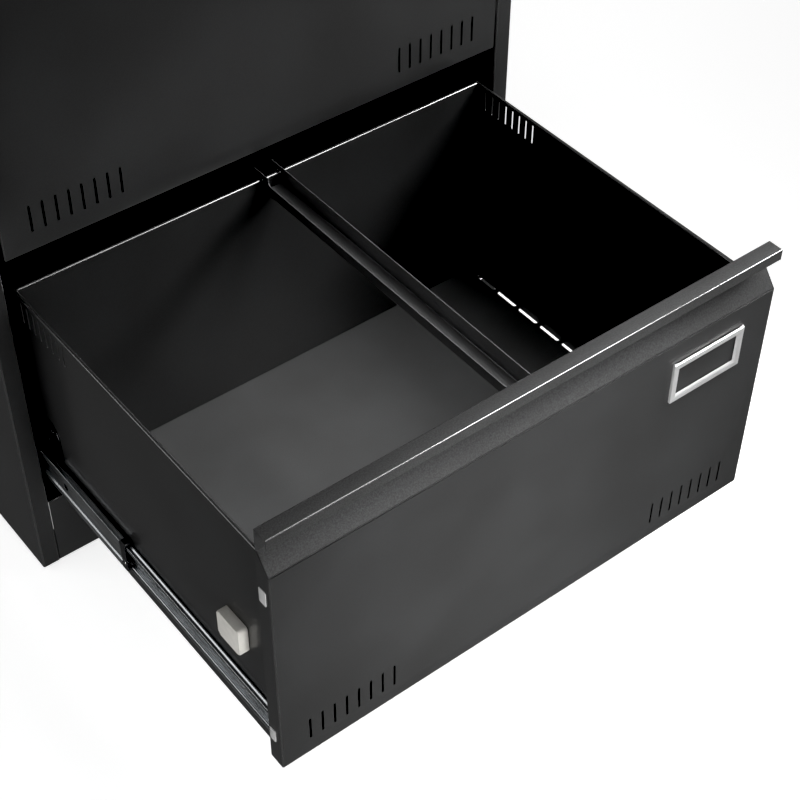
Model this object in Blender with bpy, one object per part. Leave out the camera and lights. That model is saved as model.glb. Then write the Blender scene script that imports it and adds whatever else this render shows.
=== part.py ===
"""Two-drawer lateral filing cabinet in folded, powder-coated steel sheet.

Metres, +Z up, +X to the right of a person who faces the drawers, +Y into the case.
The lower drawer is modelled pulled fully out and the upper one pushed home.
The origin is on the ground, in the middle of the box around the whole cabinet.
"""

import math

import bmesh
import bpy

# Sheet and clearances
SHEET = 0.001
GAP = 0.0003

# Case
CASE_WIDTH = 0.760
CASE_DEPTH = 0.560
CASE_HEIGHT = 0.930
CASE_BOTTOM = 0.008
STILE_WIDTH = 0.024
STILE_RETURN = 0.016
REAR_FLANGE = 0.014
PANEL_FLANGE = 0.020
PLINTH_HEIGHT = 0.110
RAIL_RETURN = 0.025

# Drawer fronts
TRAVEL = 0.500
FRONT_PROUD = 0.004
FRONT_WIDTH = 0.700
FRONT_DEPTH = 0.0224
CREASE_Z = 0.322
BAND_DEPTH = 0.0195
BAND_TOP_Z = 0.3465
PULL_TOP_Z = 0.3786
PULL_DEPTH = 0.0208
PULL_LIP = 0.014
PULL_TAIL = 0.016
PITCH = 0.385
LOWER_FRONT_Z = CASE_BOTTOM + 0.115
DRAWER_LEVELS = {"lower": LOWER_FRONT_Z, "upper": LOWER_FRONT_Z + PITCH}
DRAWER_PULLED = {"lower": TRAVEL, "upper": 0.0}
SHELF_TOP = CASE_BOTTOM + PLINTH_HEIGHT
TOP_RAIL_Z = DRAWER_LEVELS["upper"] + PITCH

# Vent slots
VENT_COUNT = 8
FRONT_VENT_WIDTH = 0.0030
FRONT_VENT_FIRST = 0.0384
FRONT_VENT_PITCH = 0.0164
FRONT_VENT_Z = (0.0255, 0.0605)
WALL_VENT_WIDTH = 0.0030
WALL_VENT_LAST = 0.500
WALL_VENT_PITCH = 0.0131
WALL_VENT_Z = (0.2925, 0.3225)

# Drawer body
WALL_OUTER = 0.3419
WALL_BOTTOM = 0.011
WALL_TOP = 0.3294
WALL_BACK = 0.520
HEM_WIDTH = 0.005
HEM_DROP = 0.010
WALL_HEM_DROP = 0.005
BACK_Y = 0.5145
BACK_HEM = 0.006
LINER_Y = 0.0214
LINER_HEM = 0.008
FLOOR_Z = 0.0135
NOTCH_COUNT = 10
NOTCH_LENGTH = 0.037
NOTCH_PITCH = 0.045
NOTCH_DEPTH = 0.0062
NOTCH_LAST = 0.4767
ACCESS_HOLE_RADIUS = 0.0050
ACCESS_HOLE_Y = (0.060, 0.270, 0.480)

# Hanging-file rail
RAIL_LEFT = -0.0017
RAIL_WIDTH = 0.0272
RAIL_FLOOR_Z = 0.3121
RAIL_LEFT_TOP = 0.3277
RAIL_RIGHT_TOP = 0.3376
RAIL_HOOK_BACK = 0.537
RAIL_HOOK_DROP = 0.012
RAIL_TAB_LENGTH = 0.012

# Telescopic slides, three nested C-sections on each side of each drawer
SLIDE_Z = 0.0655
SLIDE_SHEET = 0.0012
SLIDE_CABINET = {"height": 0.054, "web": 0.3546, "edge": 0.3460}
SLIDE_MIDDLE = {"height": 0.0455, "web": 0.3531, "edge": 0.3450}
SLIDE_DRAWER = {"height": 0.036, "web": 0.3422, "edge": 0.3509}
SLIDE_CABINET_Y = (0.020, 0.512)
SLIDE_MIDDLE_Y = (0.066, 0.501)
SLIDE_DRAWER_Y = (0.0228, 0.512)

# Small drawer fittings
GUIDE_OUTER = 0.3544
GUIDE_Y = (0.062, 0.103)
GUIDE_Z = (0.139, 0.1785)
GUIDE_CHAMFER = 0.003
STRIKER_Y = (0.463, 0.513)
STRIKER_Z = (0.0945, 0.150)
STRIKER_REACH = 0.008
CARD_X = (0.194, 0.304)
CARD_Z = (0.2335, 0.2915)
CARD_BORDER = 0.0095
CARD_DEPTH = 0.005
CARD_SLOT = 0.001

# Slide uprights inside the case
UPRIGHT_WEB = 0.355
UPRIGHT_FRONT_Y = (0.056, 0.096)
UPRIGHT_REAR_Y = (0.466, 0.506)

# Levelling feet
FOOT_RADIUS = 0.017
FOOT_PAD = 0.005
FOOT_BOSS_RADIUS = 0.008
FOOT_STEM_RADIUS = 0.004
FOOT_STEM_TOP = 0.036
FOOT_HOLE_RADIUS = 0.0045
FOOT_X = 0.330
FOOT_FRONT_Y = 0.025
FOOT_REAR_Y = 0.535

# Lock and locking bars
LOCK_X = 0.322
LOCK_Z = 0.911
LOCK_COLLAR_RADIUS = 0.0120
LOCK_BODY_RADIUS = 0.0095
LOCK_BORE_RADIUS = 0.0066
LOCK_PLUG_RADIUS = 0.0062
LOCK_BODY_BACK = 0.022
LOCK_PLUG_BACK = 0.027
LOCK_FACE = -0.0020
CAM_LENGTH = 0.028
CAM_HALF = 0.007
CAM_SHEET = 0.0025
LOCK_BAR_X = 0.360
LOCK_BAR_Y = (0.019, 0.031)
LOCK_BAR_BOTTOM = 0.130
LOCK_BAR_TOP = 0.9085
LOCK_BAR_ARM_X = 0.338
LOCK_BAR_LUG_X = 0.3525
LOCK_LUG_Z = 0.250
INTERLOCK_X = 0.369
INTERLOCK_Y = (0.512, 0.520)
INTERLOCK_Z = (0.125, 0.880)
INTERLOCK_LUG_X = 0.346
INTERLOCK_LUG_Z = 0.115
CAM_STEPS = 8
KEYWAY_HALF = (0.0009, 0.0042)
KEYWAY_DEPTH = 0.012
BAR_SHEET = 0.003
LUG_SHEET = 0.002

# The case's front plane, which centres the whole cabinet on the origin in Y
CASE_FRONT_Y = (TRAVEL + FRONT_PROUD + CARD_DEPTH + GAP - CASE_DEPTH) / 2

# Finishes: base colour, roughness, metallic
BLACK_COAT = ((0.012, 0.012, 0.013), 0.45, 0.0)
ZINC = ((0.55, 0.56, 0.58), 0.30, 1.0)
SATIN_NICKEL = ((0.62, 0.62, 0.61), 0.32, 1.0)
WHITE_NYLON = ((0.72, 0.72, 0.70), 0.50, 0.0)
BLACK_NYLON = ((0.015, 0.015, 0.015), 0.55, 0.0)
SIDES = {"left": -1, "right": 1}


def clear_scene():
    """Remove every object, so that the model starts from nothing."""
    for old in list(bpy.data.objects):
        bpy.data.objects.remove(old, do_unlink=True)


def make_material(name, finish):
    """Give one part its own Principled material."""
    colour, roughness, metallic = finish
    material = bpy.data.materials.new(name + "_finish")
    material.use_nodes = True
    shader = material.node_tree.nodes["Principled BSDF"]
    shader.inputs["Base Color"].default_value = (*colour, 1.0)
    shader.inputs["Roughness"].default_value = roughness
    shader.inputs["Metallic"].default_value = metallic
    return material


def make_object(name, bm, finish, parent):
    """Turn a bmesh into a named object with a material and a parent."""
    bmesh.ops.recalc_face_normals(bm, faces=bm.faces)
    mesh = bpy.data.meshes.new(name)
    bm.to_mesh(mesh)
    bm.free()
    obj = bpy.data.objects.new(name, mesh)
    bpy.context.scene.collection.objects.link(obj)
    obj.parent = parent
    if finish is not None:
        mesh.materials.append(make_material(name, finish))
    return obj


def make_empty(name, location, parent=None):
    """Make an empty that carries a group of parts."""
    empty = bpy.data.objects.new(name, None)
    empty.location = location
    empty.parent = parent
    bpy.context.scene.collection.objects.link(empty)
    return empty


def place(axis, along, pair):
    """Return a point from its place along an axis and its pair of other coordinates."""
    if axis == "X":
        return (along, pair[0], pair[1])
    if axis == "Y":
        return (pair[0], along, pair[1])
    return (pair[0], pair[1], along)


def add_prism(bm, outline, axis, span):
    """Add a closed outline, extruded over a span of one axis, to a bmesh."""
    ring = [bm.verts.new(place(axis, span[0], pair)) for pair in outline]
    face = bm.faces.new(ring)
    grown = bmesh.ops.extrude_face_region(bm, geom=[face])
    moved = [item for item in grown["geom"] if isinstance(item, bmesh.types.BMVert)]
    bmesh.ops.translate(bm, verts=moved, vec=place(axis, span[1] - span[0], (0.0, 0.0)))


def prism(name, outline, axis, span, finish, parent):
    """Make one part as an extruded outline."""
    bm = bmesh.new()
    add_prism(bm, outline, axis, span)
    return make_object(name, bm, finish, parent)


def rectangle(across, up):
    """Return the four corners of a rectangle from its two spans."""
    return [(across[0], up[0]), (across[1], up[0]), (across[1], up[1]), (across[0], up[1])]


def sheet_outline(path, thickness=SHEET):
    """Return the outline of a folded sheet whose outer face follows a path.

    The sheet's thickness goes to the left of the path, and its corners are mitred.
    """
    inner = []
    for index, point in enumerate(path):
        normals = []
        for start, end in ((index - 1, index), (index, index + 1)):
            if start < 0 or end >= len(path):
                continue
            run = (path[end][0] - path[start][0], path[end][1] - path[start][1])
            length = math.hypot(*run)
            normals.append((-run[1] / length, run[0] / length))
        first, last = normals[0], normals[-1]
        mitre = thickness / (1.0 + first[0] * last[0] + first[1] * last[1])
        inner.append((point[0] + (first[0] + last[0]) * mitre, point[1] + (first[1] + last[1]) * mitre))
    return list(path) + inner[::-1]


def mirrored(outline, side):
    """Return an outline with its first coordinate turned to one side."""
    return [(pair[0] * side, pair[1]) for pair in outline]


def cutter(name, parent, boxes=(), rounds=(), outlines=()):
    """Make a hidden cutter of boxes, round bars and outlines extruded along X."""
    bm = bmesh.new()
    for outline, span in outlines:
        add_prism(bm, outline, "X", span)
    for across, along, up in boxes:
        add_prism(bm, rectangle(across, up), "Y", along)
    for axis, centre, radius, span in rounds:
        add_prism(bm, circle(centre, radius), axis, span)
    obj = make_object(name, bm, None, parent)
    obj.hide_render = True
    obj.display_type = "WIRE"
    return obj


def cut(obj, tool):
    """Take a cutter's shape out of a part."""
    modifier = obj.modifiers.new("Cut", "BOOLEAN")
    modifier.operation = "DIFFERENCE"
    modifier.solver = "EXACT"
    modifier.object = tool


def circle(centre, radius, steps=16):
    """Return the points of a circle in the two axes across its bar."""
    turn = 2 * math.pi / steps
    return [
        (centre[0] + radius * math.cos(step * turn), centre[1] + radius * math.sin(step * turn))
        for step in range(steps)
    ]


def turned(name, profile, finish, parent, axis="Z", steps=24):
    """Turn a closed profile of (radius, height) pairs around an axis into a solid."""
    bm = bmesh.new()
    rings = []
    for radius, height in profile:
        if radius == 0.0:
            rings.append([bm.verts.new(place(axis, height, (0.0, 0.0)))])
        else:
            rings.append([bm.verts.new(place(axis, height, pair)) for pair in circle((0.0, 0.0), radius, steps)])
    pairs = list(zip(rings, rings[1:]))
    if profile[0][0] > 0.0:
        pairs.append((rings[-1], rings[0]))
    for low, high in pairs:
        for step in range(steps):
            after = (step + 1) % steps
            corners = [low[step % len(low)], low[after % len(low)], high[after % len(high)], high[step % len(high)]]
            bm.faces.new(list(dict.fromkeys(corners)))
    obj = make_object(name, bm, finish, parent)
    obj.data.shade_smooth()
    obj.data.set_sharp_from_angle(angle=math.radians(35))
    return obj


# ---------------------------------------------------------------- case


def make_side_panel(side_name, case):
    """Fold a side panel with a front stile, its return and a rear flange."""
    outer = CASE_WIDTH / 2
    path = [
        (outer - STILE_WIDTH, STILE_RETURN),
        (outer - STILE_WIDTH, 0.0),
        (outer, 0.0),
        (outer, CASE_DEPTH),
        (outer - REAR_FLANGE, CASE_DEPTH),
    ]
    outline = mirrored(sheet_outline(path), SIDES[side_name])
    span = (CASE_BOTTOM, CASE_HEIGHT - SHEET - GAP)
    prism("side_panel_" + side_name, outline, "Z", span, BLACK_COAT, case)


def make_top_panel(case):
    """Lay the top over the sides, with flanges that drop inside them."""
    outer = CASE_WIDTH / 2
    inner = outer - SHEET - GAP
    under = CASE_HEIGHT - SHEET
    low = under - PANEL_FLANGE
    outline = [
        (-outer, under),
        (-inner, under),
        (-inner, low),
        (-inner + SHEET, low),
        (-inner + SHEET, under),
        (inner - SHEET, under),
        (inner - SHEET, low),
        (inner, low),
        (inner, under),
        (outer, under),
        (outer, CASE_HEIGHT),
        (-outer, CASE_HEIGHT),
    ]
    panel = prism("top_panel", outline, "Y", (0.0, CASE_DEPTH), BLACK_COAT, case)
    front_end = ((-outer, outer), (-SHEET, STILE_RETURN + 2 * GAP), (low - SHEET, under))
    rear_end = ((-outer, outer), (CASE_DEPTH - 3 * SHEET, CASE_DEPTH + SHEET), (low - SHEET, under))
    cut(panel, cutter("top_panel_flange_ends", case, boxes=[front_end, rear_end]))


def make_back_panel(case):
    """Close the back with a flat panel in front of the sides' rear flanges."""
    half = CASE_WIDTH / 2 - SHEET - GAP
    rear = CASE_DEPTH - SHEET - GAP
    outline = rectangle((-half, half), (CASE_BOTTOM, CASE_HEIGHT - SHEET - GAP))
    prism("back_panel", outline, "Y", (rear - SHEET, rear), BLACK_COAT, case)


def foot_holes(y):
    """Return a pair of round cuts for the stems of two feet."""
    span = (CASE_BOTTOM - SHEET, CASE_BOTTOM + 2 * SHEET)
    return [("Z", (x, y), FOOT_HOLE_RADIUS, span) for x in (-FOOT_X, FOOT_X)]


def make_kick_plate(case):
    """Make the kick plate between the stiles, with a foot flange and a top flange."""
    half = CASE_WIDTH / 2 - STILE_WIDTH - GAP
    path = [(RAIL_RETURN, SHELF_TOP), (0.0, SHELF_TOP), (0.0, CASE_BOTTOM), (2 * RAIL_RETURN, CASE_BOTTOM)]
    kick = prism("kick_plate", sheet_outline(path), "X", (-half, half), BLACK_COAT, case)
    cut(kick, cutter("kick_plate_foot_holes", case, rounds=foot_holes(FOOT_FRONT_Y)))


def make_rear_base_rail(case):
    """Make the angle that ties the sides together low at the back."""
    half = CASE_WIDTH / 2 - SHEET - GAP
    rear = CASE_DEPTH - 2 * (SHEET + GAP)
    path = [
        (rear - 2 * RAIL_RETURN, CASE_BOTTOM),
        (rear, CASE_BOTTOM),
        (rear, CASE_BOTTOM + 2 * RAIL_RETURN),
    ]
    rail = prism("rear_base_rail", sheet_outline(path), "X", (-half, half), BLACK_COAT, case)
    cut(rail, cutter("rear_base_rail_foot_holes", case, rounds=foot_holes(FOOT_REAR_Y)))


def make_bottom_shelf(case):
    """Make the flanged floor of the case."""
    half = CASE_WIDTH / 2 - SHEET - GAP
    rear = CASE_DEPTH - 2 * (SHEET + GAP)
    low = SHELF_TOP - PANEL_FLANGE
    path = [(half, low), (half, SHELF_TOP), (-half, SHELF_TOP), (-half, low)]
    prism("bottom_shelf", sheet_outline(path), "Y", (RAIL_RETURN + GAP, rear), BLACK_COAT, case)


def make_top_rail(case):
    """Make the front rail under the top, with a round hole for the lock."""
    half = CASE_WIDTH / 2 - STILE_WIDTH - GAP
    top = CASE_HEIGHT - SHEET - GAP
    path = [(RAIL_RETURN, top), (0.0, top), (0.0, TOP_RAIL_Z), (RAIL_RETURN, TOP_RAIL_Z)]
    rail = prism("top_rail", sheet_outline(path), "X", (-half, half), BLACK_COAT, case)
    hole = ("Y", (LOCK_X, LOCK_Z), LOCK_BODY_RADIUS + GAP, (-SHEET, 2 * SHEET))
    cut(rail, cutter("top_rail_lock_hole", case, rounds=[hole]))


def make_upright(side_name, end_name, span_y, case):
    """Make one channel upright that the slides screw to."""
    outer = CASE_WIDTH / 2 - SHEET - GAP
    path = [(outer, span_y[1]), (UPRIGHT_WEB, span_y[1]), (UPRIGHT_WEB, span_y[0]), (outer, span_y[0])]
    outline = mirrored(sheet_outline(path), SIDES[side_name])
    span = (SHELF_TOP + GAP, TOP_RAIL_Z)
    prism("upright_%s_%s" % (end_name, side_name), outline, "Z", span, BLACK_COAT, case)


def make_foot(name, x, y, case):
    """Turn one levelling foot, a pad with a boss and a threaded stem."""
    holder = make_empty(name + "_axis", (x, y, 0.0), case)
    profile = [
        (0.0, 0.0),
        (FOOT_RADIUS, 0.0),
        (FOOT_RADIUS, 0.6 * FOOT_PAD),
        (FOOT_BOSS_RADIUS, FOOT_PAD),
        (FOOT_BOSS_RADIUS, CASE_BOTTOM - GAP),
        (FOOT_STEM_RADIUS, CASE_BOTTOM - GAP),
        (FOOT_STEM_RADIUS, FOOT_STEM_TOP),
        (0.0, FOOT_STEM_TOP),
    ]
    turned(name, profile, BLACK_NYLON, holder)


def make_lock(case):
    """Make the lock's housing, its plug with a keyway, and the cam behind it."""
    holder = make_empty("lock_axis", (LOCK_X, 0.0, LOCK_Z), case)
    housing = [
        (LOCK_BORE_RADIUS, LOCK_FACE),
        (LOCK_COLLAR_RADIUS, LOCK_FACE),
        (LOCK_COLLAR_RADIUS, -GAP),
        (LOCK_BODY_RADIUS, -GAP),
        (LOCK_BODY_RADIUS, LOCK_BODY_BACK),
        (LOCK_BORE_RADIUS, LOCK_BODY_BACK),
    ]
    turned("lock_housing", housing, SATIN_NICKEL, holder, axis="Y")
    core = [
        (0.0, LOCK_FACE - GAP),
        (LOCK_PLUG_RADIUS, LOCK_FACE - GAP),
        (LOCK_PLUG_RADIUS, LOCK_PLUG_BACK),
        (0.0, LOCK_PLUG_BACK),
    ]
    plug = turned("lock_plug", core, SATIN_NICKEL, holder, axis="Y")
    wide, tall = KEYWAY_HALF
    keyway = ((-wide, wide), (LOCK_FACE - SHEET, LOCK_FACE + KEYWAY_DEPTH), (-tall, tall))
    cut(plug, cutter("lock_plug_keyway", holder, boxes=[keyway]))

    cam = [(-CAM_HALF, -CAM_LENGTH), (CAM_HALF, -CAM_LENGTH)]
    for step in range(CAM_STEPS + 1):
        angle = math.pi * step / CAM_STEPS
        cam.append((CAM_HALF * math.cos(angle), CAM_HALF * math.sin(angle)))
    cam_front = LOCK_PLUG_BACK + GAP
    prism("lock_cam", cam, "Y", (cam_front, cam_front + CAM_SHEET), ZINC, holder)


def toothed_bar(tooth_zs, bar_x, tooth_x, tooth_height, span_z, top_arm_x=None):
    """Return the outline of an upright bar with a tooth beside each drawer."""
    outer = bar_x + BAR_SHEET
    low, high = span_z
    outline = [(outer, low), (outer, high)]
    if top_arm_x is not None:
        outline += [(top_arm_x, high), (top_arm_x, high - tooth_height)]
        outline.append((bar_x, high - tooth_height))
    else:
        outline.append((bar_x, high))
    for z in sorted(tooth_zs, reverse=True):
        outline += [(bar_x, z + tooth_height), (tooth_x, z + tooth_height), (tooth_x, z), (bar_x, z)]
    outline.append((bar_x, low))
    return outline


def make_locking_bars(case):
    """Make the bar that the cam lifts, and the rear bar of the drawer interlock."""
    levels = DRAWER_LEVELS.values()
    teeth = [level + LOCK_LUG_Z for level in levels]
    span_z = (LOCK_BAR_BOTTOM, LOCK_BAR_TOP)
    outline = toothed_bar(teeth, LOCK_BAR_X, LOCK_BAR_LUG_X, LUG_SHEET, span_z, LOCK_BAR_ARM_X)
    prism("lock_bar", outline, "Y", LOCK_BAR_Y, ZINC, case)

    teeth = [level + INTERLOCK_LUG_Z for level in levels]
    outline = toothed_bar(teeth, INTERLOCK_X, INTERLOCK_LUG_X, BAR_SHEET, INTERLOCK_Z)
    prism("interlock_bar", mirrored(outline, SIDES["left"]), "Y", INTERLOCK_Y, ZINC, case)


def make_case():
    """Build everything that stays still, and the small pieces that move in it."""
    case = make_empty("case", (0.0, CASE_FRONT_Y, 0.0))
    for side_name, side in SIDES.items():
        make_side_panel(side_name, case)
        make_upright(side_name, "front", UPRIGHT_FRONT_Y, case)
        make_upright(side_name, "rear", UPRIGHT_REAR_Y, case)
        make_foot("foot_front_" + side_name, side * FOOT_X, FOOT_FRONT_Y, case)
        make_foot("foot_rear_" + side_name, side * FOOT_X, FOOT_REAR_Y, case)
    make_top_panel(case)
    make_back_panel(case)
    make_kick_plate(case)
    make_rear_base_rail(case)
    make_bottom_shelf(case)
    make_top_rail(case)
    make_lock(case)
    make_locking_bars(case)
    return case


# ---------------------------------------------------------------- drawers


def make_front_skin(level, drawer):
    """Make the pan-shaped outer front, whose side flanges slope back above the crease."""
    half = FRONT_WIDTH / 2
    outline = [
        (0.0, 0.0),
        (0.0, CREASE_Z),
        (BAND_DEPTH, BAND_TOP_Z),
        (FRONT_DEPTH, BAND_TOP_Z),
        (FRONT_DEPTH, 0.0),
    ]
    skin = prism(level + "_front_skin", outline, "X", (-half, half), BLACK_COAT, drawer)
    hollow = ((-half + SHEET, half - SHEET), (SHEET, 2 * FRONT_DEPTH), (SHEET, PULL_TOP_Z))
    cut(skin, cutter(level + "_front_skin_hollow", drawer, boxes=[hollow]))

    boxes = []
    for index in range(VENT_COUNT):
        offset = half - FRONT_VENT_FIRST - index * FRONT_VENT_PITCH
        for x in (-offset, offset):
            across = (x - FRONT_VENT_WIDTH / 2, x + FRONT_VENT_WIDTH / 2)
            boxes.append((across, (-SHEET, 3 * SHEET), FRONT_VENT_Z))
    cut(skin, cutter(level + "_front_skin_vents", drawer, boxes=boxes))


def make_pull(level, drawer):
    """Fold the finger pull: a tail, a sloping band, a riser, a flat top and a lip."""
    half = FRONT_WIDTH / 2
    tail_y = 2 * SHEET + GAP
    path = [
        (tail_y, CREASE_Z - PULL_TAIL),
        (tail_y, CREASE_Z),
        (PULL_DEPTH, BAND_TOP_Z - GAP),
        (PULL_DEPTH, PULL_TOP_Z),
        (0.0, PULL_TOP_Z),
        (0.0, PULL_TOP_Z - PULL_LIP),
    ]
    pull = prism(level + "_pull", sheet_outline(path), "X", (-half, half), BLACK_COAT, drawer)
    inner = half - SHEET - GAP
    ends = []
    for across in ((inner, half + SHEET), (-half - SHEET, -inner)):
        ends.append((across, (-SHEET, 2 * FRONT_DEPTH), (0.0, BAND_TOP_Z + GAP)))
    cut(pull, cutter(level + "_pull_ends", drawer, boxes=ends))


def make_liner(level, drawer):
    """Make the inner front, with a hem on top between the side walls."""
    half = FRONT_WIDTH / 2 - SHEET - GAP
    path = [
        (LINER_Y + LINER_HEM, WALL_TOP - HEM_DROP),
        (LINER_Y + LINER_HEM, WALL_TOP),
        (LINER_Y, WALL_TOP),
        (LINER_Y, 2 * SHEET),
    ]
    liner = prism(level + "_liner", sheet_outline(path), "X", (-half, half), BLACK_COAT, drawer)
    hem_half = WALL_OUTER - HEM_WIDTH - GAP
    ends = []
    for across in ((hem_half, half + SHEET), (-half - SHEET, -hem_half)):
        ends.append((across, (LINER_Y + SHEET, 2 * FRONT_DEPTH), (0.0, WALL_TOP + SHEET)))
    cut(liner, cutter(level + "_liner_hem_ends", drawer, boxes=ends))


def make_wall(level, side_name, drawer):
    """Make a side wall with a hemmed top, rear vents and slide access holes."""
    side = SIDES[side_name]
    path = [
        (WALL_OUTER, WALL_BOTTOM),
        (WALL_OUTER, WALL_TOP),
        (WALL_OUTER - HEM_WIDTH, WALL_TOP),
        (WALL_OUTER - HEM_WIDTH, WALL_TOP - WALL_HEM_DROP),
    ]
    outline = mirrored(sheet_outline(path), side)
    name = "%s_wall_%s" % (level, side_name)
    wall = prism(name, outline, "Y", (FRONT_DEPTH + 2 * GAP, WALL_BACK), BLACK_COAT, drawer)
    across = sorted((side * (WALL_OUTER - 2 * SHEET), side * (WALL_OUTER + SHEET)))
    boxes = []
    for index in range(VENT_COUNT):
        y = WALL_VENT_LAST - index * WALL_VENT_PITCH
        boxes.append((across, (y - WALL_VENT_WIDTH / 2, y + WALL_VENT_WIDTH / 2), WALL_VENT_Z))
    rounds = [("X", (y, SLIDE_Z), ACCESS_HOLE_RADIUS, across) for y in ACCESS_HOLE_Y]
    cut(wall, cutter(name + "_openings", drawer, boxes=boxes, rounds=rounds))


def make_back_wall(level, drawer):
    """Make the back wall with its rearward hem, between the side walls."""
    half = WALL_OUTER - SHEET - GAP
    path = [
        (BACK_Y + BACK_HEM, WALL_TOP - HEM_DROP),
        (BACK_Y + BACK_HEM, WALL_TOP),
        (BACK_Y, WALL_TOP),
        (BACK_Y, FLOOR_Z + 2 * SHEET),
    ]
    wall = prism(level + "_back_wall", sheet_outline(path), "X", (-half, half), BLACK_COAT, drawer)
    hem_half = WALL_OUTER - HEM_WIDTH - GAP
    corners = []
    for across in ((hem_half, half + SHEET), (-half - SHEET, -hem_half)):
        rear = (BACK_Y - SHEET, BACK_Y + 2 * BACK_HEM)
        corners.append((across, rear, (WALL_TOP - HEM_DROP - GAP, WALL_TOP + SHEET)))
    cut(wall, cutter(level + "_back_wall_corners", drawer, boxes=corners))


def make_floor(level, drawer):
    """Make the floor, with long notches that leave tabs along both side walls."""
    half = WALL_OUTER - SHEET - GAP
    outline = rectangle((-half, half), (FRONT_DEPTH + 2 * GAP, BACK_Y + SHEET))
    floor = prism(level + "_floor", outline, "Z", (FLOOR_Z, FLOOR_Z + SHEET), BLACK_COAT, drawer)
    boxes = []
    for index in range(NOTCH_COUNT):
        y = NOTCH_LAST - index * NOTCH_PITCH
        along = (y - NOTCH_LENGTH / 2, y + NOTCH_LENGTH / 2)
        for across in ((half - NOTCH_DEPTH, half + SHEET), (-half - SHEET, -half + NOTCH_DEPTH)):
            boxes.append((across, along, (FLOOR_Z - SHEET, FLOOR_Z + 2 * SHEET)))
    cut(floor, cutter(level + "_floor_notches", drawer, boxes=boxes))


def make_hanging_rail(level, drawer):
    """Make the open channel that files hang from, with tabs that rest on both hems."""
    holder = make_empty(level + "_hanging_rail_axis", (0.0, 0.0, WALL_TOP), drawer)
    low = RAIL_FLOOR_Z - WALL_TOP
    top = RAIL_RIGHT_TOP - WALL_TOP
    right = RAIL_LEFT + RAIL_WIDTH
    front = LINER_Y + SHEET + GAP
    path = [(RAIL_LEFT, top), (RAIL_LEFT, low), (right, low), (right, top)]
    rail = prism(
        level + "_hanging_rail",
        sheet_outline(path),
        "Y",
        (front, RAIL_HOOK_BACK),
        BLACK_COAT,
        holder,
    )
    body_front = LINER_Y + LINER_HEM + 2 * GAP
    body_back = BACK_Y - 2 * GAP
    hook_y = BACK_Y + BACK_HEM + 2 * GAP
    under = low - SHEET
    deep = 2 * low
    beyond = RAIL_HOOK_BACK + SHEET
    below = [
        (0.0, deep),
        (beyond, deep),
        (beyond, GAP - RAIL_HOOK_DROP),
        (hook_y, GAP - RAIL_HOOK_DROP),
        (hook_y, GAP),
        (body_back, GAP),
        (body_back, under),
        (body_front, under),
        (body_front, GAP),
        (0.0, GAP),
    ]
    wide = (RAIL_LEFT - SHEET, right + SHEET)
    left_top = (
        (RAIL_LEFT - SHEET, RAIL_LEFT + 2 * SHEET),
        (body_front + RAIL_TAB_LENGTH, body_back - RAIL_TAB_LENGTH),
        (RAIL_LEFT_TOP - WALL_TOP, 2 * top),
    )
    cut(rail, cutter(level + "_hanging_rail_trim", holder, boxes=[left_top], outlines=[(below, wide)]))


def make_card_holder(level, drawer):
    """Make the label holder, a flat frame with a slot for a card behind it."""
    back = -GAP
    holder = prism(
        level + "_card_holder",
        rectangle(CARD_X, CARD_Z),
        "Y",
        (back - CARD_DEPTH, back),
        SATIN_NICKEL,
        drawer,
    )
    window = (
        (CARD_X[0] + CARD_BORDER, CARD_X[1] - CARD_BORDER),
        (back - 2 * CARD_DEPTH, CARD_DEPTH),
        (CARD_Z[0] + CARD_BORDER, CARD_Z[1] - CARD_BORDER),
    )
    cut(holder, cutter(level + "_card_holder_window", drawer, boxes=[window]))
    slot = (
        (CARD_X[0] + CARD_BORDER / 2, CARD_X[1] - CARD_BORDER / 2),
        (back - CARD_SLOT, CARD_DEPTH),
        (CARD_Z[0] + CARD_BORDER / 2, CARD_Z[1] + SHEET),
    )
    cut(holder, cutter(level + "_card_holder_slot", drawer, boxes=[slot]))


def make_guide(level, side_name, drawer):
    """Make the nylon block that centres a drawer between the uprights."""
    low_y, high_y = GUIDE_Y
    low_z, high_z = GUIDE_Z
    trim = GUIDE_CHAMFER
    outline = [
        (low_y + trim, low_z),
        (high_y - trim, low_z),
        (high_y, low_z + trim),
        (high_y, high_z - trim),
        (high_y - trim, high_z),
        (low_y + trim, high_z),
        (low_y, high_z - trim),
        (low_y, low_z + trim),
    ]
    side = SIDES[side_name]
    span = (side * (WALL_OUTER + GAP), side * GUIDE_OUTER)
    prism("%s_guide_%s" % (level, side_name), outline, "X", span, WHITE_NYLON, drawer)


def make_striker(level, drawer):
    """Make the bracket on the left wall that works the interlock bar."""
    wall = WALL_OUTER + GAP
    path = [
        (wall, STRIKER_Z[1]),
        (wall, STRIKER_Z[0]),
        (wall + STRIKER_REACH, STRIKER_Z[0]),
        (wall + STRIKER_REACH, STRIKER_Z[0] + STRIKER_REACH),
    ]
    outline = mirrored(sheet_outline(path, SLIDE_SHEET), SIDES["left"])
    prism(level + "_interlock_striker", outline, "Y", STRIKER_Y, BLACK_COAT, drawer)


def make_slide_member(name, member, span_y, centre_z, side_name, parent):
    """Make one C-shaped member of a telescopic slide."""
    half = member["height"] / 2
    path = [
        (member["edge"], centre_z - half),
        (member["web"], centre_z - half),
        (member["web"], centre_z + half),
        (member["edge"], centre_z + half),
    ]
    if member["edge"] > member["web"]:
        path.reverse()
    outline = mirrored(sheet_outline(path, SLIDE_SHEET), SIDES[side_name])
    prism(name, outline, "Y", span_y, ZINC, parent)


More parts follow.
